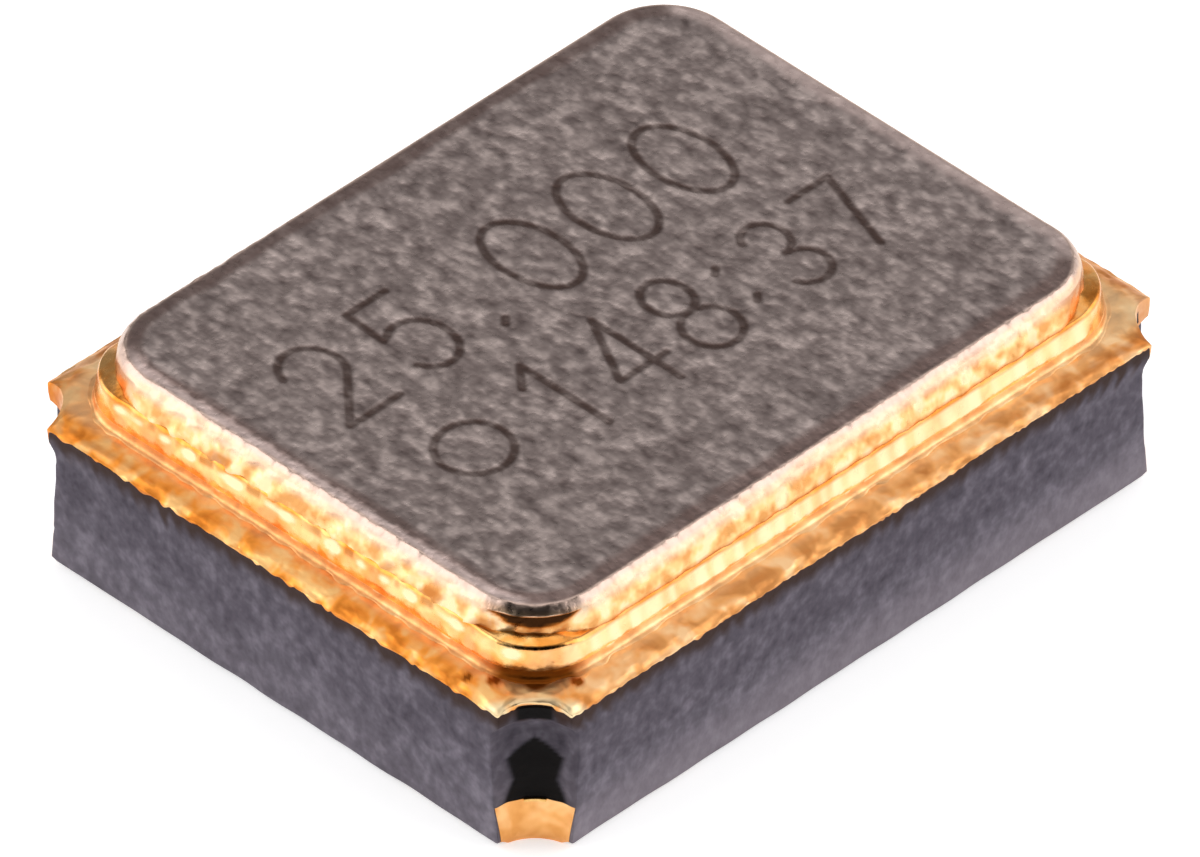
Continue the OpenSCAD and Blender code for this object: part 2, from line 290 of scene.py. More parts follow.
def black_alumina():
    """Black co-fired alumina: sintered grains of a few microns give a matte violet-grey with a fine speckle.

    The lower layers are a little lighter than the upper ones, partly by a real change between the layers and
    partly as painted reflection of the white floor, and lighter still at their foot, most on the -Y side,
    also painted reflection of the floor. The middle of each notch wall is painted black: painted shade where
    it faces the dark side that the camera stands on. A dark brown band along the edge of the gold is partly a
    brown stain and partly painted shade under the gold's lip. These three are the attributes
    "floor_reflection", "notch" and
    "lip_shade_and_stain".
    """
    material, tree = new_material("black_alumina")
    place = add(tree, "TexCoord").outputs["Object"]
    # Speckle of 30 microns in blotches of 70, drawn coarser than the real grain of 3 so that it shows
    speckle = add(tree, "TexNoise", {"Vector": place, "Scale": 30 / MM})
    blotch = add(tree, "TexNoise", {"Vector": place, "Scale": 14 / MM})
    mixed = add(tree, "Math", {0: speckle, 1: blotch}, operation="ADD")
    tone = add(tree, "MapRange", {"Value": mixed, "From Min": 0.38, "From Max": 1.62})
    upper = add(tree, "ValToRGB", {"Fac": tone},
                stops=[(0.0, "#3F3842"), (1.0, "#9A929E"), (0.5, "#6C6570")])
    lower = add(tree, "ValToRGB", {"Fac": tone},
                stops=[(0.0, "#4E4751"), (1.0, "#AAA2AE"), (0.5, "#7C7580")])
    # The lower tone, lighter partly by a real change between the layers and partly as painted reflection of
    # the white floor, gives way to the upper one between 0.18 and 0.31 mm up, moved by the blotches
    height = add(tree, "SeparateXYZ", {0: place}).outputs[2]
    wander = add(tree, "Math", {0: blotch, 1: 0.06 * MM, 2: height}, operation="MULTIPLY_ADD")
    step = add(tree, "MapRange", {"Value": wander, "From Min": 0.18 * MM, "From Max": 0.31 * MM},
               interpolation_type="SMOOTHSTEP")
    layers = add(tree, "Mix", {"Factor": step, "A": lower, "B": upper}, data_type="RGBA")
    # Painted reflection of the floor at the foot, painted shade and a brown stain under the gold's lip, and
    # painted shade in the notches
    base = tinted(tree, layers.outputs["Result"], [
        ("floor_reflection", colour("#B5A9B2")), ("lip_shade_and_stain", colour("#46332D")), ("notch", colour("#0A0505"))])
    bump = add(tree, "Bump", {"Height": speckle, "Strength": 0.8, "Distance": 0.004 * MM})
    return complete(material, {"Base Color": base, "Normal": bump, "Roughness": 0.62,
                               "Specular IOR Level": 0.12})


def gold_plating(name, brown, mid, cream, roughness, relief):
    """Gold over nickel on a printed or brazed base: warm and satin, swelling over lumps of the metal below.

    Its tone wanders between a brown where nickel has come through, a middle and a cream. The attribute
    "warm_reflection" lays over it a redder gold, painted reflection that the -X side shows, and
    "painted_light" a pale gold, painted highlight.
    """
    material, tree = new_material(name)
    place = add(tree, "TexCoord").outputs["Object"]
    fine = add(tree, "TexNoise", {"Vector": place, "Scale": 50 / MM})
    # Lumps of 0.07 mm, the marks of the paste's mesh
    lumps = add(tree, "TexNoise", {"Vector": place, "Scale": 15 / MM, "Distortion": 0.2})
    shade = add(tree, "TexNoise", {"Vector": place, "Scale": 12 / MM, "Distortion": 0.3})
    tone = add(tree, "ValToRGB", {"Fac": shade}, stops=[(0.38, brown), (0.64, cream), (0.5, mid)])
    # Redder gold, painted reflection that the -X side shows
    warm_reflection_tone = add(tree, "ValToRGB", {"Fac": shade},
                 stops=[(0.38, "#DC7C14"), (0.64, "#FFC878"), (0.5, "#FF9C2C")])
    base = tinted(tree, tone, [("warm_reflection", warm_reflection_tone), ("painted_light", colour("#FFE4B4"))])
    rough = add(tree, "MapRange", {"Value": fine, "From Min": 0.3, "From Max": 0.7,
                                   "To Min": roughness - 0.05, "To Max": roughness + 0.08})
    deep = add(tree, "Bump", {"Height": lumps, "Distance": relief * MM})
    bump = add(tree, "Bump", {"Height": fine, "Distance": 0.0007 * MM, "Normal": deep})
    # Amber for the weld's tint, dark brown for painted shade
    heat_and_shade = scorched_and_shaded(tree, base, 1.4, "#B8641E", "#4A2208")
    return complete(material, {"Base Color": heat_and_shade, "Roughness": rough, "Normal": bump, "Metallic": 1.0})


def nickel_lid():
    """Nickel-plated rolled Kovar: grey, with short rolling grain along the width and laser-marked strokes.

    The attribute "mark" holds the strokes, "rim_shade" the dull band inside the rim, which is painted shade,
    "edge_sheen" the brighter bands along the +X and -X edges, which are painted reflection, "rubbed" the
    bevel and
    "weld" the side, where the seam weld drew gold up.
    """
    material, tree = new_material("nickel_plated_kovar")
    place = add(tree, "TexCoord").outputs["Object"]
    # Grains about 0.03 mm wide and 0.05 mm long
    stretched = add(tree, "Mapping", {"Vector": place, "Scale": (31 / MM, 20 / MM, 24 / MM)})
    grain = add(tree, "TexNoise", {"Vector": stretched, "Scale": 1.0, "Detail": 1.0, "Roughness": 0.4})
    pits = add(tree, "TexNoise", {"Vector": place, "Scale": 60 / MM})
    tone = add(tree, "ValToRGB", {"Fac": grain},
               stops=[(0.20, "#6C5E5B"), (0.82, "#D0BEB8"), (0.5, "#978884")])
    # The strokes break up over the lighter grains
    mark = add(tree, "Attribute", attribute_name="mark").outputs["Fac"]
    broken = add(tree, "MapRange", {"Value": grain, "From Min": 0.35, "From Max": 0.68,
                                    "To Min": 1.0, "To Max": 0.70})
    etched = add(tree, "Math", {0: mark, 1: broken}, operation="MULTIPLY")
    marked = add(tree, "Mix", {"Factor": etched, "A": tone, "B": colour("#52413C")}, data_type="RGBA")
    # Splashes of gold about 0.06 mm across
    splash = add(tree, "TexNoise", {"Vector": place, "Scale": 17 / MM})
    gold = add(tree, "ValToRGB", {"Fac": splash},
               stops=[(0.36, "#E0A05E"), (0.60, "#FFE0B0"), (0.5, "#FFCE8C")])
    # Painted shade in a band inside the rim and painted reflection along the +X and -X edges
    base = tinted(tree, marked.outputs["Result"], [
        ("rim_shade", colour("#735D57")), ("edge_sheen", colour("#FFE2DA")), ("rubbed", colour("#CDB2A4")),
        ("weld", gold)])
    rough = add(tree, "MapRange", {"Value": pits, "From Min": 0.3, "From Max": 0.7,
                                   "To Min": 0.26, "To Max": 0.38})
    # The grain stands out less on the bevel
    rubbed = add(tree, "Attribute", attribute_name="rubbed").outputs["Fac"]
    depth = add(tree, "MapRange", {"Value": rubbed, "To Min": 1.0, "To Max": 0.25})
    rolled = add(tree, "Bump", {"Height": grain, "Strength": depth, "Distance": 0.003 * MM})
    bump = add(tree, "Bump", {"Height": pits, "Distance": 0.001 * MM, "Normal": rolled})
    # Amber for the weld's tint, dark brown for painted shade
    heat_and_shade = scorched_and_shaded(tree, base, 1.5, "#BC6C2A", "#38200F")
    return complete(material, {"Base Color": heat_and_shade, "Roughness": rough, "Normal": bump, "Metallic": 1.0})


def plain_finish(name, low, high, metallic, roughness, grain):
    """Finish of a sealed inner piece: two close tones in a noise of the given grain size in millimetres."""
    material, tree = new_material(name)
    place = add(tree, "TexCoord").outputs["Object"]
    noise = add(tree, "TexNoise", {"Vector": place, "Scale": 1 / (grain * MM), "Detail": 3.0})
    tone = add(tree, "ValToRGB", {"Fac": noise}, stops=[(0.35, low), (0.65, high)])
    bump = add(tree, "Bump", {"Height": noise, "Strength": 0.5, "Distance": 0.002 * MM})
    return complete(material, {"Base Color": tone, "Normal": bump, "Metallic": metallic,
                               "Roughness": roughness})


ceramic = black_alumina()
# Name, brown, middle and cream, roughness, and height of the lumps
land_gold = gold_plating("gold_on_printed_tungsten", "#D28E50", "#F2AE6A", "#FFD09A", 0.42, 0.0035)
ring_gold = gold_plating("gold_on_kovar_ring", "#F0A04C", "#FFBC6C", "#FFD38C", 0.20, 0.002)
terminal_gold = gold_plating("gold_on_solder_terminal", "#E8A25A", "#F6B46E", "#FFC888", 0.38, 0.0025)
lid_nickel = nickel_lid()


# ======== Ceramic body


def side_share(points, axis):
    """1 for outline points on the negative side along an axis, falling to 0 within 0.02 mm of it."""
    return smooth_step(0.02, 0.005, points[:, axis] + HALF[axis])


def notch_turn(points):
    """Degrees from the middle line of the nearest notch, seen from the package corner: 45 along the sides."""
    inset = HALF - np.abs(points)
    return np.abs(np.degrees(np.arctan2(inset[:, 1], inset[:, 0])) - 45)


def notch_shade(points, z):
    """Painted shade in a notch wall, where it faces the dark side that the camera stands on: within an angle
    of the middle line that varies with the height.
    """
    heights = [0.0, 0.118, 0.195, 0.268, 0.328, 0.350, 0.408, 0.418, 0.480]
    half_angles = [34, 33, 22, 27, 2, -12, -12, 20, 20]
    edge = np.interp(z - Z0, heights, half_angles)
    return smooth_step(edge + 4, edge - 4, notch_turn(points))


def lip_height(points):
    """Height of the plating's lower edge: broad drips on the -X side and fine teeth on the others.

    In the notches of the -X, -Y corner and of the one opposite, the edge rises to just under the top face. In
    the other two it runs down to the foot of the top layer.
    """
    distance, length = loop_length(points)
    left = side_share(points, 0)
    drips = 0.010 * lobes(distance, length, 0.085, 3)
    teeth = 0.005 * lobes(distance, length, 0.042, 5)
    slow = 0.002 * ripple(distance, length, 1.5, 0.4, 7)
    level = Z0 + 0.4535 + 0.0045 * left - drips * left - teeth * (1 - left) + slow
    side = np.minimum(level, FACE_TOP_Z + 0.004)
    turn, diagonal = notch_turn(points), points[:, 0] * points[:, 1] > 0
    bare = smooth_step(24, 18, turn) * diagonal
    filled = smooth_step(44.5, 40, turn) * ~diagonal
    return side * (1 - bare - filled) + (TOP_Z - 0.008) * bare + (Z0 + 0.398) * filled


def top_height(points):
    """Height of the ceramic's top: flat, then falling over the rim by the distance to the nearest side."""
    inset = np.minimum(HALF[0] - np.abs(points[:, 0]), HALF[1] - np.abs(points[:, 1]))
    t = np.clip(1 - inset / RIM_WIDTH, 0, 1)
    return TOP_Z - RIM_DROP * t


def body_outline(notch, setback=FACE_SETBACK):
    """Notched outline of the body, set back from its sides, with its sharp corners smoothed."""
    return soften(outline(HALF - setback, notch, notched=True), 0.8)


def build_body():
    """Ceramic body: notched outlines stacked up the four layers, over the top and down through the cavity.

    The notch radius follows the height, so that each notch swells in the middle layers. The sides carry a
    slow waviness of one micron. They lean in by four microns over the lower two layers and six more at the
    foot.
    """
    reference = body_outline(TOP_NOTCH)
    lip = lip_height(reference)
    distance, length = loop_length(reference)
    lip_shade_depth = 0.035 + 0.006 * ripple(distance, length, 0.3, 0.05, 9)
    near = near_share(reference)
    minus_y_face = side_share(reference, 1)
    loops, lip_shade_and_stain, notch_shade_mask, floor_reflection = [], [], [], []

    def row(loop, z, shade=0.0, black=0.0, painted_light=0.0):
        """Adds a loop with its height and its shares of painted shade and stain under the lip, of painted
        shade in the notch and of painted floor reflection.
        """
        loops.append(lift(loop, z))
        lip_shade_and_stain.append(np.broadcast_to(shade, len(loop)))
        notch_shade_mask.append(np.broadcast_to(black, len(loop)))
        floor_reflection.append(np.broadcast_to(painted_light, len(loop)))

    heights = [0, 0.004, 0.012, 0.030, 0.050, 0.075, 0.094, 0.108, 0.118, 0.131, 0.140, 0.150, 0.165, 0.180,
               0.195, 0.210, 0.225, 0.240, 0.255, 0.268, 0.278, 0.288, 0.298, 0.308, 0.320, 0.332, 0.345,
               0.356, 0.366, 0.375, 0.383, 0.390, 0.396, 0.402, 0.407, 0.412, 0.418]
    for rise in heights + np.linspace(0.424, FACE_TOP_Z - Z0, 12).tolist():
        z = Z0 + rise
        wave = 0.0009 * ripple(distance, length, 1.2, 0.2, 11 + int(rise / LAYER))
        close, away = notch_radii(z)
        loop = body_outline(close, FACE_SETBACK + lean(rise)) * near[:, None]
        loop = loop + body_outline(away, FACE_SETBACK + lean(rise)) * (1 - near[:, None])
        outward = loop / np.linalg.norm(loop, axis=1)[:, None]
        loop = loop + outward * np.minimum(wave, 0.0015)[:, None]
        # Painted shade under the gold's lip, partly a brown stain: a dark band just below the lip
        shade = 0.95 * smooth_step(lip_shade_depth + 0.035, lip_shade_depth - 0.018, lip - z)
        # Painted reflection of the white floor: lighter toward the foot, most on the -Y side
        painted_light = (0.10 + 0.45 * minus_y_face) * smooth_step(0.20, 0.0, rise)
        row(loop, z, shade, notch_shade(loop, z), painted_light)
    cavity = outline(CAVITY, CAVITY_RADIUS)
    across = 0.35                           # about the way from a side to the cavity
    for inset in (0.02, 0.045, RIM_WIDTH, 0.10):
        loop = reference + (cavity - reference) * inset / across
        row(loop, top_height(loop))
    row(cavity, TOP_Z)
    row(cavity, Z0 + 3 * LAYER)
    pit = outline(PIT, CAVITY_RADIUS) + [PIT_SHIFT, 0.0]
    row(pit, Z0 + 3 * LAYER)
    row(pit, Z0 + LAYER)
    points, faces = loft(loops)
    masks = {"lip_shade_and_stain": lip_shade_and_stain, "notch": notch_shade_mask, "floor_reflection": floor_reflection}
    middles = np.zeros(2)
    return make_piece("ceramic_body", points, faces, ceramic, ["ceramic_base"], sharp=38,
                      values={key: np.concatenate(mask + [middles]) for key, mask in masks.items()})


# ======== Seal land, braze, ring and lid

def build_land():
    """Seal land: a skin between the cavity's edge and the notched outline, turned down over the body's sides.

    Across it, points are blended from the cavity's outline to the body's. Its height is the ceramic's top
    plus the plating, with a rounded shoulder. Its lip hangs down to a wavy edge and bulges by part of a sine:
    straight out on the sides and toward the package's corner in the notches.
    """
    outer = body_outline(TOP_NOTCH, 0.0035)
    inner = outline(CAVITY, CAVITY_RADIUS)
    distance, length = loop_length(outer)
    lip = lip_height(body_outline(TOP_NOTCH))
    on_side = np.abs(outer) > HALF - 0.02
    to_corner = np.sign(outer) * HALF - outer
    reach = np.linalg.norm(to_corner, axis=1)[:, None]
    outward = np.sign(outer) * on_side + to_corner / reach * (reach < 0.16)
    loops = [lift(inner, TOP_Z)]
    for step in (0.0, 0.3, 0.55, 0.68, 0.74, 0.78, 0.82, 0.85, 0.88, 0.91, 0.935, 0.96, 0.98, 1.0):
        loop = inner * (1 - step) + outer * step
        swell = 0.0012 * ripple(distance, length, 0.25, 0.07, 21 + int(step * 100)) * step
        edge = 0.006 * smooth_step(0.93, 1.0, step)
        z = top_height(loop) + LAND + np.minimum(swell, 0.002) - edge
        loops.append(lift(loop, np.minimum(z, land_high[2])))
    crest = loops[-1][:, 2]
    beads = 1 + 0.35 * ripple(distance, length, 0.12, 0.04, 23)
    for t in (0.15, 0.35, 0.6, 0.85, 1.0):
        bulge = np.clip(0.0028 * beads * math.sin(math.pi * (0.25 + 0.6 * t)), 0.0012, 0.0029)
        loops.append(lift(outer + outward * bulge[:, None], crest + (lip - crest) * t))
    tuck = body_outline(TOP_NOTCH + 0.004, 0.008)
    loops.append(lift(tuck, np.minimum(lip, top_height(tuck) - 0.004)))
    loops.append(lift(inner * 1.001, TOP_Z))
    points, faces = loft(loops, close=True)
    # Brown stains where the braze drew back near the -X, -Y corner
    corner = points[:, :2] + HALF
    stain = 0.0
    spots = [(0.155, 0.150, 0.050), (0.080, 0.235, 0.030), (0.045, 0.300, 0.020), (0.235, 0.075, 0.028)]
    for x, y, size in spots:
        stain = np.maximum(stain, smooth_step(size, size * 0.4, np.hypot(corner[:, 0] - x, corner[:, 1] - y)))
    # Painted highlight: the tips beside that notch, its rim and a band along the ring
    tips = np.minimum(np.hypot(corner[:, 0], corner[:, 1] - 0.15),
                      np.hypot(corner[:, 0] - 0.15, corner[:, 1]))
    away = np.max(np.abs(points[:, :2]) - RING, axis=1)
    rim = smooth_step(0.168, 0.150, np.hypot(corner[:, 0], corner[:, 1])) * (points[:, 2] > Z0 + 0.470)
    painted_light = np.max([smooth_step(0.060, 0.025, tips), rim, 0.45 * smooth_step(0.055, 0.01, away)], axis=0)
    # Darker: the linings of the two notches beside it, and painted shade at the foot of the ring on the -X
    # side
    inside = smooth_step(44.5, 40, notch_turn(points[:, :2])) * (points[:, 0] * points[:, 1] < 0)
    inside = inside * smooth_step(0.478, 0.470, points[:, 2] - Z0)
    drawn = 0.25 * warm_reflection_share(points) * smooth_step(0.070, 0.040, away)
    scorch_and_shade = np.max([0.8 * stain, 0.4 * inside, drawn], axis=0)
    return make_piece("seal_land_skin", points, faces, land_gold, ["seal_land"], sharp=50,
                      values={"scorch_and_shade": scorch_and_shade, "warm_reflection": 1.3 * warm_reflection_share(points), "painted_light": painted_light})


def warm_reflection_share(points):
    """Share of the redder gold, a painted reflection: the -X side, fading out over the corners."""
    return 0.55 * smooth_step(-0.98, -1.12, points[:, 0])


def build_braze():
    """Braze: a swept joint whose outer toe is a concave fillet between the land and the ring's wall.

    The toe wets out onto the land by an uneven width.
    """
    low, high = land_high[2], ring_low[2]
    base = outline(RING, RING_RADIUS)
    distance, length = loop_length(base)
    normal = outward_normals(base)
    toe = 0.018 + 0.003 * ripple(distance, length, 0.35, 0.07, 27)
    toe = np.clip(toe, 0.012, 0.025)
    outside = [(1.15, low - 0.003), (0.95, low + 0.0005), (0.60, low + 0.0014), (0.35, low + 0.0034),
               (0.20, low + 0.0065), (0.10, low + 0.0115), (0.03, low + 0.0180), (0.0, low + 0.0260),
               (-0.10, low + 0.0270)]
    inside = [(-0.18, high), (-0.20, low + 0.004), (-0.212, low - 0.001), (-0.1, low - 0.003)]
    loops = [lift(base + normal * (toe * share)[:, None], z) for share, z in outside]
    for o, z in inside:
        radius = RING_BORE_RADIUS - (o + 0.2) if o < -0.15 else RING_RADIUS + o
        loops.append(lift(outline(RING + o, radius), z))
    points, faces = loft(loops, close=True)
    scorched_and_shaded = corner_share(points[:, :2], RING, RING_RADIUS) * (points[:, 0] < 0) * (points[:, 1] < 0)
    # Painted highlight over the whole fillet, a redder painted reflection on the -X side, and darker at the
    # -X, -Y corner and a little on the -X side
    return make_piece("braze_fillet", points, faces, land_gold, ["braze_joint"], sharp=50,
                      values={"warm_reflection": warm_reflection_share(points), "painted_light": np.full(len(points), 0.30),
                              "scorch_and_shade": np.maximum(0.75 * scorched_and_shaded, 0.25 * warm_reflection_share(points))})


def corner_share(loop, half, radius):
    """1 on the corner arcs of a rounded rectangle and 0 on its sides."""
    past = np.min(np.abs(loop) - (half - radius), axis=1)
    return smooth_step(-0.03, 0.09, past)


def build_ring():
    """Seam ring: one profile carried round the outline, blended from its side form to its corner form.

    The wall leans in above its foot, is dented by the weld and ends in a soft edge under the lid. At the
    corners, where the lid is rounder than the ring, it is even, ends in a wide shoulder and rises higher. The
    dents are the tanh of two ripples, so that none is deeper than four microns.
    """
    low = ring_low[2]
    # Offset and height on the sides, then at the corners
    profile = [(-0.0005, 0.4750, -0.0005, 0.4750), (-0.0005, 0.4950, -0.0005, 0.5000),
               (-0.0005, 0.5080, -0.0008, 0.5110), (-0.0012, 0.5140, -0.0018, 0.5200),
               (-0.0026, 0.5200, -0.0030, 0.5280), (-0.0046, 0.5270, -0.0042, 0.5360),
               (-0.0068, 0.5340, -0.0054, 0.5440), (-0.0089, 0.5410, -0.0066, 0.5520),
               (-0.0106, 0.5480, -0.0076, 0.5590), (-0.0119, 0.5550, -0.0088, 0.5660),
               (-0.0130, 0.5610, -0.0103, 0.5720), (-0.0148, 0.5660, -0.0124, 0.5765),
               (-0.0178, 0.5700, -0.0155, 0.5795), (-0.0215, 0.5720, -0.0200, 0.5813),
               (-0.0280, 0.5730, -0.0260, 0.5832), (-0.0340, 0.5730, -0.0330, 0.5855),
               (-0.0400, 0.5730, -0.0420, 0.5885), (-0.0500, 0.5730, -0.0550, 0.5920),
               (-0.0800, 0.5730, -0.0850, 0.5940), (-0.1950, 0.5730, -0.1950, 0.5780),
               (-0.2000, 0.5700, -0.2000, 0.5740), (-0.2000, 0.4750, -0.2000, 0.4750)]
    base = outline(RING, RING_RADIUS)
    normal = outward_normals(base)
    distance, length = loop_length(base)
    left = smooth_step(-1.05, -1.12, base[:, 0])
    corner = corner_share(base, RING, RING_RADIUS)
    heat_and_shade = corner * ((base[:, 0] > 0) | (base[:, 1] > 0))
    dents = ripple(distance, length, 0.30, 0.05, 31)
    slow = ripple(distance, length, 0.8, 0.3, 33)
    blobs = ripple(distance, length, 0.22, 0.09, 35)
    loops, painted_light, scorch_and_shade = [], [], []
    for side_o, side_z, corner_o, corner_z in profile:
        o = side_o + (corner_o - side_o) * corner
        z = side_z + (corner_z - side_z) * corner
        along_side = (1 - corner) * (side_o > -0.1)
        middle = smooth_step(0.508, 0.522, side_z) * smooth_step(0.574, 0.558, side_z) * along_side
        inward = 0.004 * np.tanh(middle * (0.12 * (1 + left) * dents + 0.35 * slow))
        loop = base + normal * np.minimum(o - inward, -0.0003)[:, None]
        if side_o < -0.1:
            loop = outline(RING + side_o, RING_BORE_RADIUS)
        rise = 0.012 * left * smooth_step(0.505, 0.530, side_z) * along_side    # the wall is taller at -X
        loops.append(lift(loop, np.maximum(low, Z0 + z + rise)))
        # Painted highlight along the middle of the wall; on the -X side it is broken into ovals
        ovals = smooth_step(-0.5, 1.1, blobs - 1.1 * ((side_z - 0.545) / 0.013) ** 2)
        wall = smooth_step(0.478, 0.500, side_z) * smooth_step(0.567, 0.558, side_z)
        shine = wall * (0.70 + 0.3 * np.tanh(dents)) * (1 - 0.7 * left) * (1 - 0.5 * corner)
        painted_light.append(shine + ovals * left)
        # Painted shade: dark gaps between the ovals on the -X side and a dark band in the crease under the
        # lid; the three corners away from the -X, -Y one are darker and redder
        gaps = 0.5 * left * smooth_step(0.5, 1.4, -blobs) * smooth_step(0.536, 0.552, side_z)
        edge = (0.45 - 0.20 * left) * smooth_step(0.556, 0.566, side_z)
        scorch_and_shade.append(np.maximum(edge, gaps) * along_side + 0.30 * heat_and_shade * (side_z > 0.56))
    points, faces = loft(loops, close=True)
    return make_piece("welded_seam_ring", points, faces, ring_gold, ["seam_ring"], sharp=55,
                      values={"painted_light": np.concatenate(painted_light), "scorch_and_shade": np.concatenate(scorch_and_shade),
                              "warm_reflection": np.maximum(warm_reflection_share(points), 0.5 * np.tile(heat_and_shade, len(profile)))})


def outward_normals(loop):
    """Unit normals of an anticlockwise loop, from the chord between each point's neighbours."""
    chord = np.roll(loop, -1, axis=0) - np.roll(loop, 1, axis=0)
    normal = np.column_stack([chord[:, 1], -chord[:, 0]])
    return normal / np.linalg.norm(normal, axis=1)[:, None]


# Strokes of the plain numerals, in a box one unit wide and one unit high: polylines and arcs
def arc(cx, cy, rx, ry, start, end, steps=18):
    """Points on an ellipse from one angle to another, in degrees."""
    f = np.radians(np.linspace(start, end, steps))
    return np.column_stack([cx + rx * np.cos(f), cy + ry * np.sin(f)])


def line(*points):
    """Points of a polyline."""
    return np.array(points, float)


NUMERALS = {
    "0": [arc(0.5, 0.5, 0.46, 0.5, 0, 360, 32)],
    "1": [line((0.25, 0.78), (0.60, 1.0), (0.60, 0.0))],
    "2": [np.vstack([arc(0.5, 0.70, 0.42, 0.30, 165, -35), line((0.05, 0.0), (0.95, 0.0))])],
    "3": [arc(0.46, 0.75, 0.38, 0.25, 155, -90), arc(0.46, 0.25, 0.42, 0.25, 90, -155)],
    "4": [line((0.72, 0.0), (0.72, 1.0), (0.04, 0.30), (0.96, 0.30))],
    "5": [np.vstack([line((0.86, 1.0), (0.16, 1.0), (0.12, 0.56)), arc(0.46, 0.32, 0.42, 0.32, 125, -150)])],
    "7": [line((0.06, 1.0), (0.94, 1.0), (0.36, 0.0))],
    "8": [arc(0.5, 0.76, 0.36, 0.24, 0, 360, 26), arc(0.5, 0.26, 0.44, 0.26, 0, 360, 26)],
}


def marking_strokes():
    """Plain numerals and a round index mark, as stroke polylines on the lid in millimetres."""
    strokes = []

    def write(text, x, y, width, height, pitch):
        """Adds the strokes of a row of numerals, from the lower left corner of its first."""
        for i, sign in enumerate(text):
            for stroke in NUMERALS[sign]:
                strokes.append(stroke * [width, height] + [x + i * pitch, y])

    write("25", -0.86, 0.10, 0.21, 0.34, 0.30)
    strokes.append(line((-0.25, 0.11), (-0.23, 0.13)))
    write("000", -0.10, 0.10, 0.22, 0.34, 0.29)
    strokes.append(arc(-0.68, -0.20, 0.11, 0.11, 0, 360, 30))
    write("148", -0.46, -0.38, 0.19, 0.34, 0.25)
    strokes.append(line((0.30, -0.30), (0.32, -0.28)))
    strokes.append(line((0.30, -0.14), (0.32, -0.12)))
    write("37", 0.42, -0.36, 0.17, 0.30, 0.23)
    return strokes


def stroke_depth(x, y, width):
    """1 on a stroke's middle line, falling to 0 at its soft edge, by the distance to the nearest segment."""
    nearest = np.full(x.shape, 9.0)
    for stroke in marking_strokes():
        for a, b in zip(stroke[:-1], stroke[1:]):
            run = b - a
            t = np.clip(((x - a[0]) * run[0] + (y - a[1]) * run[1]) / (run @ run + 1e-12), 0, 1)
            nearest = np.minimum(nearest, np.hypot(x - a[0] - t * run[0], y - a[1] - t * run[1]))
    return smooth_step(width * 0.5 + 0.006, width * 0.5 - 0.006, nearest)


def bend_corners(x, y, half, radius):
    """Moves a rectangular grid onto a rounded rectangle.

    A point at inset d from the rectangle's edge lands on the offset outline with corner radius R - d: along a
    side it stays, and near a corner its overshoot past the arc's start becomes an angle of up to 45 degrees.
    """
    ax, ay = half[0] - np.abs(x), half[1] - np.abs(y)
    d = np.minimum(ax, ay)
    r = np.maximum(radius - d, 1e-9)
    cx, cy = half[0] - d - r, half[1] - d - r
    across = ay <= ax
    over = np.where(across, np.abs(x) - cx, np.abs(y) - cy)
    turn = np.clip(over / r, 0, 1) * math.pi / 4
    bent_x = np.where(across, cx + r * np.sin(turn), cx + r * np.cos(turn))
    bent_y = np.where(across, cy + r * np.cos(turn), cy + r * np.sin(turn))
    bends = (over > 0) & (d < radius)
    return (np.where(bends, np.sign(x) * bent_x, x), np.where(bends, np.sign(y) * bent_y, y), d)


LID_TOP = lid_high[2] - 0.002
LID_EDGE = RING - 0.042           # half sizes at the foot of the polished bevel
EDGE_RADIUS = 0.220               # corner radius there
BEVEL_WIDTH, BEVEL_DROP = 0.022, 0.025


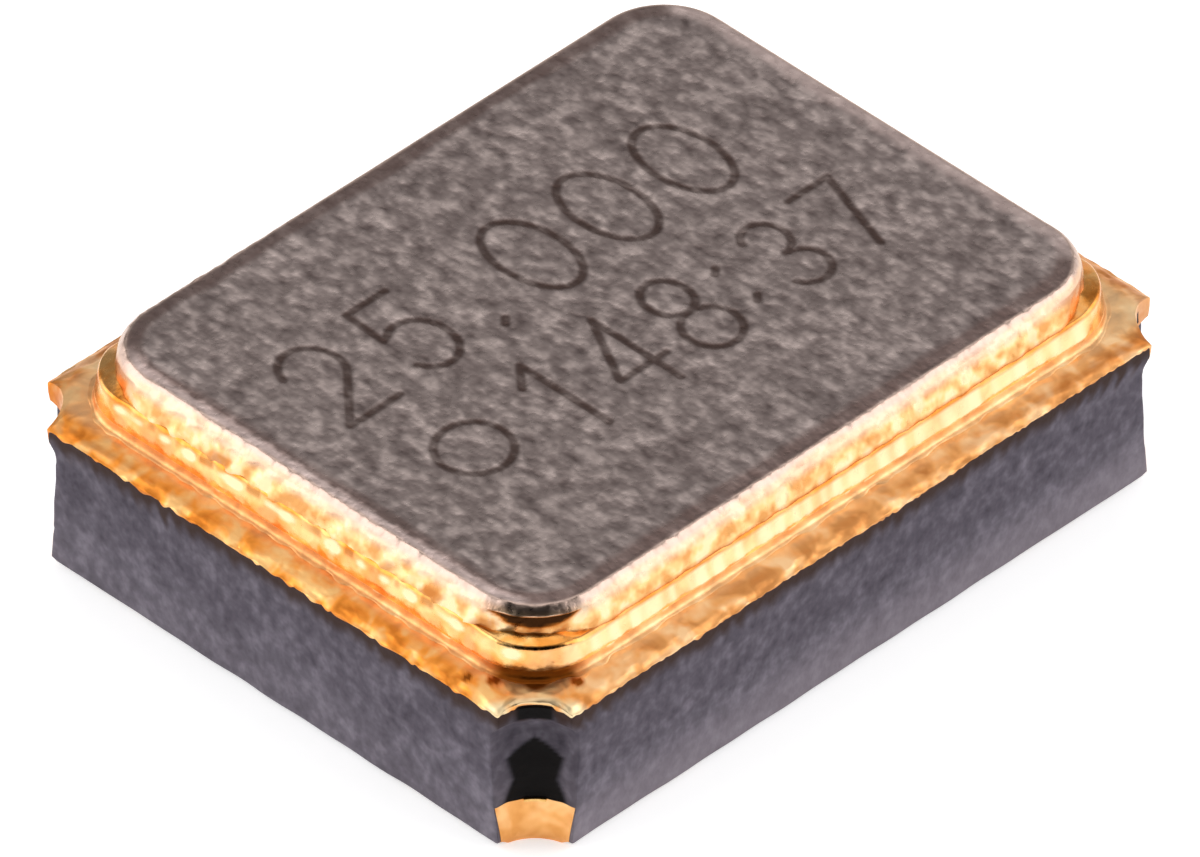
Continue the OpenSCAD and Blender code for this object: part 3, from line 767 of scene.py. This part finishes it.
def build_lid():
    """Lid: a fine height field over a rounded rectangle, closed below by its welded side.

    By the distance d from the bevel's foot, its height falls by the power 1.6 of what is left of the bevel,
    and the rim falls away by a few more microns. Beads along the bevel, waviness and the marked strokes are
    added. The side is a stack of offset loops with slanted ripples, made by a wave whose phase moves along as
    it climbs. At the -X, -Y corner it carries a dark crescent that narrows on its way down: painted shadow
    under the lid's overhanging edge.
    """
    rim = np.array([0, 0.0015, 0.003, 0.005, 0.007, 0.0095, 0.012, 0.015, 0.018, 0.021, 0.024, 0.028, 0.033,
                    0.04, 0.05, 0.06, 0.075])

    fine, broad = 0.0062, 0.014

    def ticks(half, low, high):
        """Grid lines, close together along both edges and fine over the marking, from low to high."""
        left, right = -half + rim, half - rim[::-1]
        return np.concatenate([left, np.arange(left[-1] + broad, low, broad), np.arange(low, high, fine),
                               np.arange(high, right[0] - broad * 0.5, broad), right])

    xs, ys = ticks(LID_EDGE[0], -0.90, 0.84), ticks(LID_EDGE[1], -0.42, 0.48)
    flat_x, flat_y = np.meshgrid(xs, ys)
    x, y, d = bend_corners(flat_x, flat_y, LID_EDGE, EDGE_RADIUS)
    bevel = -BEVEL_DROP * (1 - np.clip(d / BEVEL_WIDTH, 0, 1)) ** 1.6
    rim_fall = -0.0030 * (1 - smooth_step(0.020, 0.075, d))
    rng = np.random.default_rng(41)
    waviness, beads = np.zeros_like(x), np.zeros_like(x)
    for _ in range(50):
        kx, ky = rng.normal(0, TAU / 0.35), rng.normal(0, TAU / 0.9)
        waviness += np.cos(kx * x + ky * y + rng.uniform(0, TAU)) / 5
        kx, ky = rng.normal(0, TAU / 0.09, 2)
        beads += np.cos(kx * x + ky * y + rng.uniform(0, TAU)) / 5
    mark = stroke_depth(x, y, 0.026)
    z = LID_TOP + bevel + rim_fall + 0.0008 * waviness * smooth_step(0.0, 0.05, d) - 0.0015 * mark
    # Beads of the weld, fading out toward the +X and +Y edges
    near_edges = smooth_step(0.6, 0.2, x + y)
    z += 0.0014 * beads * smooth_step(0.0, 0.008, d) * smooth_step(0.034, 0.018, d) * near_edges
    rows, columns = x.shape
    points = np.column_stack([x.ravel(), y.ravel(), z.ravel()])
    index = np.arange(rows * columns).reshape(rows, columns)
    faces = quads(index).tolist()

    # 1 along the +X and the -X edge and 0 along the others
    beside = LID_EDGE[1] - np.abs(flat_y) - LID_EDGE[0] + np.abs(flat_x)
    right_edge = smooth_step(-0.02, 0.06, beside) * (flat_x > 0)
    left_edge = smooth_step(0.0, 0.08, beside) * (flat_x < 0)
    inside_rim = smooth_step(0.017, 0.026, d + 0.002 * beads)
    # Painted shade: a dull band inside the rim; painted reflection: lighter bands along the +X and the -X
    # edge
    rim_shade = 0.75 * inside_rim * smooth_step(0.085, 0.062, d + 0.004 * waviness) * (1 - right_edge)
    edge_sheen = 0.40 * inside_rim * smooth_step(0.085, 0.045, d + 0.005 * beads) * right_edge
    edge_sheen = np.maximum(edge_sheen, 0.45 * smooth_step(0.060, 0.044, d + 0.004 * beads) * left_edge)
    rim_shade = rim_shade * (1 - smooth_step(0.050, 0.042, d) * left_edge)
    weld = 0.35 * smooth_step(0.012, 0.0, d + 0.003 * waviness)
    values = {"mark": mark, "rim_shade": rim_shade, "edge_sheen": edge_sheen, "weld": weld, "scorch_and_shade": np.zeros_like(x),
              "rubbed": smooth_step(0.030, 0.019, d)}
    values = {key: value.ravel() for key, value in values.items()}

    border = np.concatenate([index[0, :-1], index[:-1, -1], index[-1, :0:-1], index[:0:-1, 0]])
    edge = points[border]
    distance, length = loop_length(edge[:, :2])
    normal = outward_normals(edge[:, :2])
    corner = corner_share(edge[:, :2], LID_EDGE, EDGE_RADIUS)
    left = smooth_step(-1.03, -1.09, edge[:, 0])
    front = (edge[:, 0] < 0) & (edge[:, 1] < 0)
    crescent = np.clip((-normal.sum(axis=1) / math.sqrt(2) - 0.80) / 0.20, 0, 1)
    count = len(border)
    above = border
    # Offset and height down the side, which is steeper at the corners
    side = [(0.0030, 0.641), (0.0065, 0.633), (0.0100, 0.624), (0.0135, 0.614), (0.0170, 0.604),
            (0.0202, 0.594), (0.0230, 0.585), (0.0252, 0.577), (0.0250, 0.570), (0.0235, 0.566)]
    for i, (out, height) in enumerate(side):
        slant = distance + 0.9 * (0.648 - height)
        small = ripple(distance, length, 0.05, 0.02, 43 + i)
        wave = 0.0010 * ripple(slant, length, 0.30, 0.06, 42) + 0.0003 * small
        wave = np.clip(wave * (1 + 0.6 * left), -0.0040, 0.0035) * smooth_step(0.0, 0.006, out)
        loop = edge[:, :2] + normal * (out * (1 - 0.7 * corner) + wave)[:, None]
        below = len(points) + np.arange(count)
        points = np.concatenate([points, lift(loop, Z0 + height)])
        faces += np.column_stack([below, np.roll(below, -1), np.roll(above, -1), above]).tolist()
        above = below
        foot = smooth_step(0.010, 0.018, out)
        # Painted shadow of the overhang at the -X, -Y corner and darker other corners; darker spots near the
        # foot; painted shade in the crease at the foot of the side, away from the corners
        undercut_shade = smooth_step(0, 0.4, crescent - (0.641 - height) / 0.044) * front + 0.4 * corner * ~front
        spots = ripple(distance + 0.8 * (0.648 - height), length, 0.40, 0.13, 45)
        side_scorch_and_shade = np.maximum(undercut_shade, (0.12 + 0.38 * left) * smooth_step(0.2, 1.5, spots) * foot)
        side_scorch_and_shade = np.maximum(side_scorch_and_shade, (0.40 - 0.25 * left) * (1 - corner) * smooth_step(0.582, 0.574, height))
        gold = 0.35 + 0.65 * smooth_step(0.002, 0.014, out)
        below_edge = {"weld": gold, "scorch_and_shade": side_scorch_and_shade, "rubbed": 1.0}
        for key in values:
            values[key] = np.concatenate([values[key], np.broadcast_to(below_edge.get(key, 0.0), count)])
    points = np.concatenate([points, [[0, 0, Z0 + side[-1][1]]]])
    faces += np.column_stack([np.roll(above, -1), above, np.full(count, len(points) - 1)]).tolist()
    values = {key: np.append(value, 0.0) for key, value in values.items()}
    make_piece("nickel_lid", points, faces, lid_nickel, ["lid"], sharp=55,
               values=values)


# ======== Terminals

def dense(corners, spacing):
    """A closed polyline with points added about every `spacing` along it."""
    parts = []
    for a, b in zip(corners, np.roll(corners, -1, axis=0)):
        steps = max(1, int(np.linalg.norm(b - a) / spacing))
        parts.append(a + (b - a) * np.linspace(0, 1, steps, endpoint=False)[:, None])
    return np.concatenate(parts)


def build_terminal(number, sx, sy, cut):
    """Terminal: a low pad with a rounded edge, and a curved lining that stands in the notch above it.

    Both are worked out for the +X, +Y corner and mirrored by the signs. The pad is its outline at four
    heights. The lining is a quarter-round strip between two offsets of the notch wall. Its top edge is
    slightly uneven, and its lower edge dips to the pad in the middle.
    """
    pad_edge = HALF - 0.05
    far = pad_edge - [0.60, 0.50]

    def notch_arc(turn, z, gap):
        """Arc about the +X, +Y corner, out from the notch wall by a gap."""
        way = np.column_stack([np.sin(turn), np.cos(turn)])
        share = near_share((HALF - way * 0.15) * [sx, sy])
        close, away = notch_radii(z)
        return HALF - FACE_SETBACK - lean(z - Z0) - way * (close * share + away * (1 - share) - gap)[:, None]

    f0 = math.asin(0.05 / 0.14)
    bite = notch_arc(np.linspace(f0, math.pi / 2 - f0, 24), Z0, -0.008)
    # The far corner, cut off as an index mark on the first terminal
    index_mark = [[far[0], far[1] + cut], [far[0] + cut, far[1]]] if cut else [far]
    pad = np.vstack([bite, [[far[0], pad_edge[1]]], index_mark, [[pad_edge[0], far[1]]]])
    pad = soften(dense(pad, 0.006), 1.0)
    normal = outward_normals(pad)
    edge = [(-0.004, 0.0), (-0.001, 0.0012), (0.0, 0.004), (0.0, Z0)]
    pad_points, pad_faces = loft([lift(pad + normal * o, z) for o, z in edge])

    share = np.linspace(0, 1, 40)
    rng = np.random.default_rng(50 + number)
    uneven = sum(0.0012 * np.cos(TAU * k * share / 2 + rng.uniform(0, TAU)) for k in (2, 5, 9))
    top = Z0 + LAYER + 0.0055 + np.minimum(uneven, 0.002)
    sill = Z0 - 0.9 * Z0 * smooth_step(0.0, 0.15, share) * smooth_step(1.0, 0.85, share)
    # Two notches have a near and a far side: their wall swells between the two, so the skin is thicker there
    mixed = sx != sy
    skin, buried = LINING * (1.3 if mixed else 1.0), -0.004
    levels = [(skin, sill)] + [(skin, Z0 + rise) for rise in (0.012, 0.03, 0.055, 0.08, 0.10, 0.118)]
    levels += [(skin * 0.6, top), (buried, top), (buried, Z0 + 0.10), (buried, Z0 + 0.05), (buried, sill)]
    strip = []
    for gap, z in levels:
        height = max(np.max(z), Z0)
        # Margins in degrees: narrower at the foot than at the top, and short of the +X and +Y sides
        margin = 4 - 3 * smooth_step(0.03, 0.13, height) + 9 * mixed
        start, end = (25 if sign > 0 else margin for sign in (sx, sy))
        turn = np.radians(start + (90 - start - end) * share)
        strip.append(lift(notch_arc(turn, height, gap), z))
    index = len(pad_points) + np.arange(len(strip) * len(share)).reshape(len(strip), len(share))
    ends = [index[:, 0].tolist(), index[::-1, -1].tolist()]
    points = np.concatenate([pad_points] + strip) * [sx, sy, 1]
    faces = pad_faces + quads(np.vstack([index, index[0]])).tolist() + ends
    face_outwards(make_piece("solder_terminal_%d" % number, points, faces, terminal_gold,
                             ["terminal_%d" % number], sharp=45))


def face_outwards(piece):
    """Recalculates the faces' directions so that they all point outwards."""
    mesh = bmesh.new()
    mesh.from_mesh(piece.data)
    bmesh.ops.recalc_face_normals(mesh, faces=mesh.faces)
    mesh.to_mesh(piece.data)
    mesh.free()


for piece in (build_body(), build_land(), build_braze(), build_ring()):
    face_outwards(piece)
build_lid()
for number, (sx, sy) in enumerate([(-1, -1), (1, -1), (1, 1), (-1, 1)], 1):
    build_terminal(number, sx, sy, 0.16 if number == 1 else 0.0)

# Sealed inner pieces keep their solids: their nodes, and the finish of each
inner_finishes = {
    "printed_traces chip_bumps mount_pad_front mount_pad_back electrode_top electrode_bottom":
        plain_finish("gold_inside_the_cavity", "#D9A65C", "#F2C47E", 1.0, 0.3, 0.02),
    "crystal_vias ground_via": plain_finish("sintered_tungsten", "#6A665F", "#8B867D", 1.0, 0.5, 0.01),
    "chip": plain_finish("lapped_silicon", "#4A505C", "#5C6370", 0.3, 0.25, 0.02),
    "underfill": plain_finish("filled_epoxy", "#2A2420", "#3A322C", 0.0, 0.5, 0.02),
    "adhesive_front adhesive_back":
        plain_finish("silver_filled_epoxy", "#8F8C86", "#B5B2AB", 0.6, 0.45, 0.015),
    "quartz_blank": plain_finish("lapped_quartz", "#C9D2D8", "#E3EAEE", 0.0, 0.2, 0.03),
}
for names, inner in inner_finishes.items():
    for name in names.split():
        nodes[name].data.materials.clear()
        nodes[name].data.materials.append(inner)


# ======== Floor, light and camera

def build_floor():
    """White sheet under the part; it shows itself a little brighter to the eye and to shiny metal."""
    size = 400 * MM
    mesh = bpy.data.meshes.new("white_sheet")
    corners = [(-size, -size, 0), (size, -size, 0), (size, size, 0), (-size, size, 0)]
    mesh.from_pydata(corners, [], [(0, 1, 2, 3)])
    material, tree = new_material("white_card")
    rays = add(tree, "LightPath").outputs
    seen = rays["Is Camera Ray"]
    for other in ("Is Glossy Ray", "Is Transmission Ray"):
        seen = add(tree, "Math", {0: seen, 1: rays[other]}, operation="MAXIMUM")
    glow = add(tree, "Math", {0: seen, 1: 0.60}, operation="MULTIPLY")
    mesh.materials.append(complete(material, {"Base Color": colour("#F2F2F2"), "Roughness": 0.9,
                                              "Emission Color": (1, 1, 1, 1), "Emission Strength": glow}))
    floor = bpy.data.objects.new("white_sheet", mesh)
    bpy.context.scene.collection.objects.link(floor)


def build_sky():
    """Soft light from all round: a dim tent with wide, soft-edged bright cards.

    Each card is a cone about a direction. The brightness falls smoothly from its core to its edge, read from
    the cosine between the sky's direction and the card's.
    """
    world = bpy.data.worlds.new("light_tent")
    bpy.context.scene.world = world
    world.use_nodes = True
    tree = world.node_tree
    tree.nodes.clear()
    direction = add(tree, "TexCoord").outputs["Generated"]
    total = TENT
    for toward, core, edge, strength in CARDS:
        unit = Vector(toward).normalized()
        cosine = add(tree, "VectorMath", {0: direction, 1: unit}, operation="DOT_PRODUCT")
        card = add(tree, "MapRange", {
            "Value": cosine.outputs["Value"], "From Min": math.cos(math.radians(edge)),
            "From Max": math.cos(math.radians(core)), "To Max": strength}, interpolation_type="SMOOTHSTEP")
        total = add(tree, "Math", {0: card, 1: total}, operation="ADD")
    back = add(tree, "Background", {"Color": colour("#FFFFFF"), "Strength": total})
    add(tree, "OutputWorld", {"Surface": back})


# Dim level of the tent, then the cards: direction, core and edge half angles in degrees, and strength. The
# last card is the dark side that the camera stands on.
TENT = 0.34
CARDS = [
    ((-0.58, 0.70, 0.40), 20, 44, 1.90),
    ((0.70, -0.58, 0.40), 20, 44, 1.80),
    ((0.80, 0.55, 0.12), 10, 30, 0.60),
    ((0.28, 0.28, 0.92), 12, 28, 0.90),
    ((-0.58, -0.58, 0.57), 36, 52, -0.34),
]


def build_camera():
    """Long lens above the -X, -Y corner, so far back that the frame is view_width wide at the target."""
    view_width = 3.241
    round_angle, up_angle = math.radians(-45.12), math.radians(39.40)
    data = bpy.data.cameras.new("camera")
    data.lens, data.sensor_width = 1100, 36
    data.clip_start, data.clip_end = 0.01, 10
    camera = bpy.data.objects.new("camera", data)
    back = Vector((math.sin(round_angle) * math.cos(up_angle), -math.cos(round_angle) * math.cos(up_angle),
                   math.sin(up_angle)))
    target = Vector((0, 0, Z0 + 0.2275)) * MM
    camera.location = target + back * (view_width * MM * data.lens / data.sensor_width)
    camera.rotation_euler = (math.pi / 2 - up_angle, 0, round_angle)
    bpy.context.scene.collection.objects.link(camera)
    bpy.context.scene.camera = camera


build_floor()
build_sky()
build_camera()
bpy.context.scene.view_settings.view_transform = "Standard"

bpy.context.view_layer.update()
